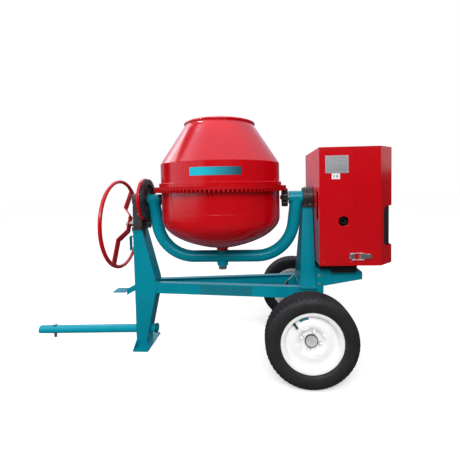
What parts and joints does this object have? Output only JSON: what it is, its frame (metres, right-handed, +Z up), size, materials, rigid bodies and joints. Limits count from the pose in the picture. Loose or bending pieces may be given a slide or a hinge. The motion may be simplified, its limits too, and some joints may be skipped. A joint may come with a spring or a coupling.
{
  "type": "concrete mixer",
  "caption": "Towable tilting-drum concrete mixer: round drum in a bent-tube yoke, handwheel tilt, hooded engine driving a ring gear through a belt, steel frame on road wheels.",
  "frame": {"origin": "ground level, at the centre of the object's bounding box seen from above", "axes": "+X from the tow bar towards the engine hood, +Y away from the side with the foot pedal latch, +Z up; the drum mouth points up at rest"},
  "size_m": [2.6121, 1.113, 1.6497],
  "materials": {
    "teal_paint": "gloss",
    "red_paint": "gloss",
    "black_paint": "semi-gloss",
    "black_casting": "painted casting",
    "white_paint": "gloss",
    "tyre_rubber": "matte",
    "belt_rubber": "matte",
    "zinc_plate": "bright zinc",
    "bare_steel": "turned",
    "engine_casting": "as cast"
  },
  "bodies": {
    "frame": {"front_post": "teal_paint", "front_foot": "teal_paint", "near_side_beam": "teal_paint", "far_side_beam": "teal_paint", "rear_cross_member": "teal_paint", "rear_post": "teal_paint", "axle": "teal_paint", "engine_bracket": "teal_paint", "engine_base": "black_paint", "front_bearing_bracket": "black_casting", "rear_bearing_block": "black_casting", "lock_guide": "teal_paint", "hood_front_shell": "red_paint", "hood_hinge_pin": "zinc_plate", "data_plate": "zinc_plate", "latch_keeper": "zinc_plate", "engine_block": "engine_casting", "muffler": "bare_steel", "fuel_tank": "black_paint", "recoil_starter": "black_paint", "drive_belt": "belt_rubber"},
    "yoke": {"yoke_tube": "teal_paint", "left_trunnion": "black_casting", "tilt_gear": "black_casting", "brake_disc": "red_paint"},
    "drum": {"drum_bowl": "red_paint", "drum_cone": "red_paint", "ring_gear": "red_paint", "mixing_blade_a": "red_paint", "mixing_blade_b": "red_paint", "drum_shaft": "red_paint", "drum_nut": "zinc_plate"},
    "pinion": {"drive_pinion": "black_casting", "pinion_shaft": "bare_steel", "drive_pulley": "black_paint"},
    "engine_output": {"engine_shaft": "bare_steel", "engine_pulley": "bare_steel"},
    "handwheel": {"handwheel_rim": "red_paint", "handwheel_spoke": "red_paint", "handwheel_shaft": "bare_steel", "handwheel_nut": "zinc_plate", "tilt_pinion": "black_casting"},
    "near_wheel": {"near_tyre": "tyre_rubber", "near_rim": "white_paint", "near_hub": "black_paint"},
    "far_wheel": {"far_tyre": "tyre_rubber", "far_rim": "white_paint", "far_hub": "black_paint"},
    "hood_door": {"hood_rear_shell": "red_paint", "vent_guard": "black_paint", "latch_base": "zinc_plate"},
    "latch_lever": {"latch_lever": "zinc_plate"},
    "latch_loop": {"latch_loop": "zinc_plate"},
    "pedal": {"foot_pedal": "teal_paint"},
    "brake_rod": {"brake_rod": "zinc_plate"},
    "tow_bar": {"tow_bar": "teal_paint", "tow_collar": "black_paint"},
    "hitch_pin": {"hitch_pin": "zinc_plate"}
  },
  "joints": [
    {"name": "yoke_tilt", "type": "hinge", "parent": "frame", "child": "yoke", "pos_m": [0.141, 0, 1.1], "axis": [1, 0, 0], "range_deg": [-120, 120]},
    {"name": "drum_spin", "type": "hinge", "parent": "yoke", "child": "drum", "pos_m": [0.141, 0, 1], "axis": [0, 0, 1], "continuous": true},
    {"name": "pinion_spin", "type": "hinge", "parent": "yoke", "child": "pinion", "pos_m": [0.61, 0, 1.1], "axis": [1, 0, 0], "continuous": true},
    {"name": "engine_spin", "type": "hinge", "parent": "frame", "child": "engine_output", "pos_m": [0.85, 0, 0.8], "axis": [1, 0, 0], "continuous": true},
    {"name": "handwheel_turn", "type": "hinge", "parent": "frame", "child": "handwheel", "pos_m": [-0.628, 0, 0.92], "axis": [1, 0, 0], "range_deg": [-600, 600]},
    {"name": "near_wheel_spin", "type": "hinge", "parent": "frame", "child": "near_wheel", "pos_m": [0.7117, -0.475, 0.273], "axis": [0, 1, 0], "continuous": true},
    {"name": "far_wheel_spin", "type": "hinge", "parent": "frame", "child": "far_wheel", "pos_m": [0.7117, 0.475, 0.273], "axis": [0, 1, 0], "continuous": true},
    {"name": "hood_door_swing", "type": "hinge", "parent": "frame", "child": "hood_door", "pos_m": [1.0405, 0.278, 1], "axis": [0, 0, 1], "range_deg": [0, 110]},
    {"name": "latch_lever_turn", "type": "hinge", "parent": "hood_door", "child": "latch_lever", "pos_m": [1.072, -0.279, 0.719], "axis": [0, 0, 1], "range_deg": [-140, 0]},
    {"name": "latch_loop_turn", "type": "hinge", "parent": "latch_lever", "child": "latch_loop", "pos_m": [1.092, -0.28, 0.719], "axis": [0, 0, 1], "range_deg": [0, 140]},
    {"name": "pedal_press", "type": "hinge", "parent": "frame", "child": "pedal", "pos_m": [-0.475, 0, 0.455], "axis": [0, -1, 0], "range_deg": [0, 9], "stiffness_Nm_per_rad": 20, "springref_deg": -17.19},
    {"name": "brake_rod_lift", "type": "slide", "parent": "frame", "child": "brake_rod", "axis": [0, 0, 1], "range_m": [0, 0.007]},
    {"name": "tow_slide", "type": "slide", "parent": "frame", "child": "tow_bar", "axis": [0.9998, 0, 0.0183], "range_m": [0, 0.55]},
    {"name": "hitch_pin_lift", "type": "slide", "parent": "tow_bar", "child": "hitch_pin", "axis": [-0.0183, 0, 0.9998], "range_m": [0, 0.12]}
  ],
  "couplings": [
    {"joint": "pinion_spin", "follows": "drum_spin", "ratio": -7.7143},
    {"joint": "engine_spin", "follows": "drum_spin", "ratio": -27.094},
    {"joint": "handwheel_turn", "follows": "yoke_tilt", "ratio": -5},
    {"joint": "latch_loop_turn", "follows": "latch_lever_turn", "ratio": -1},
    {"joint": "brake_rod_lift", "follows": "pedal_press", "m_per_rad": 0.041}
  ]
}
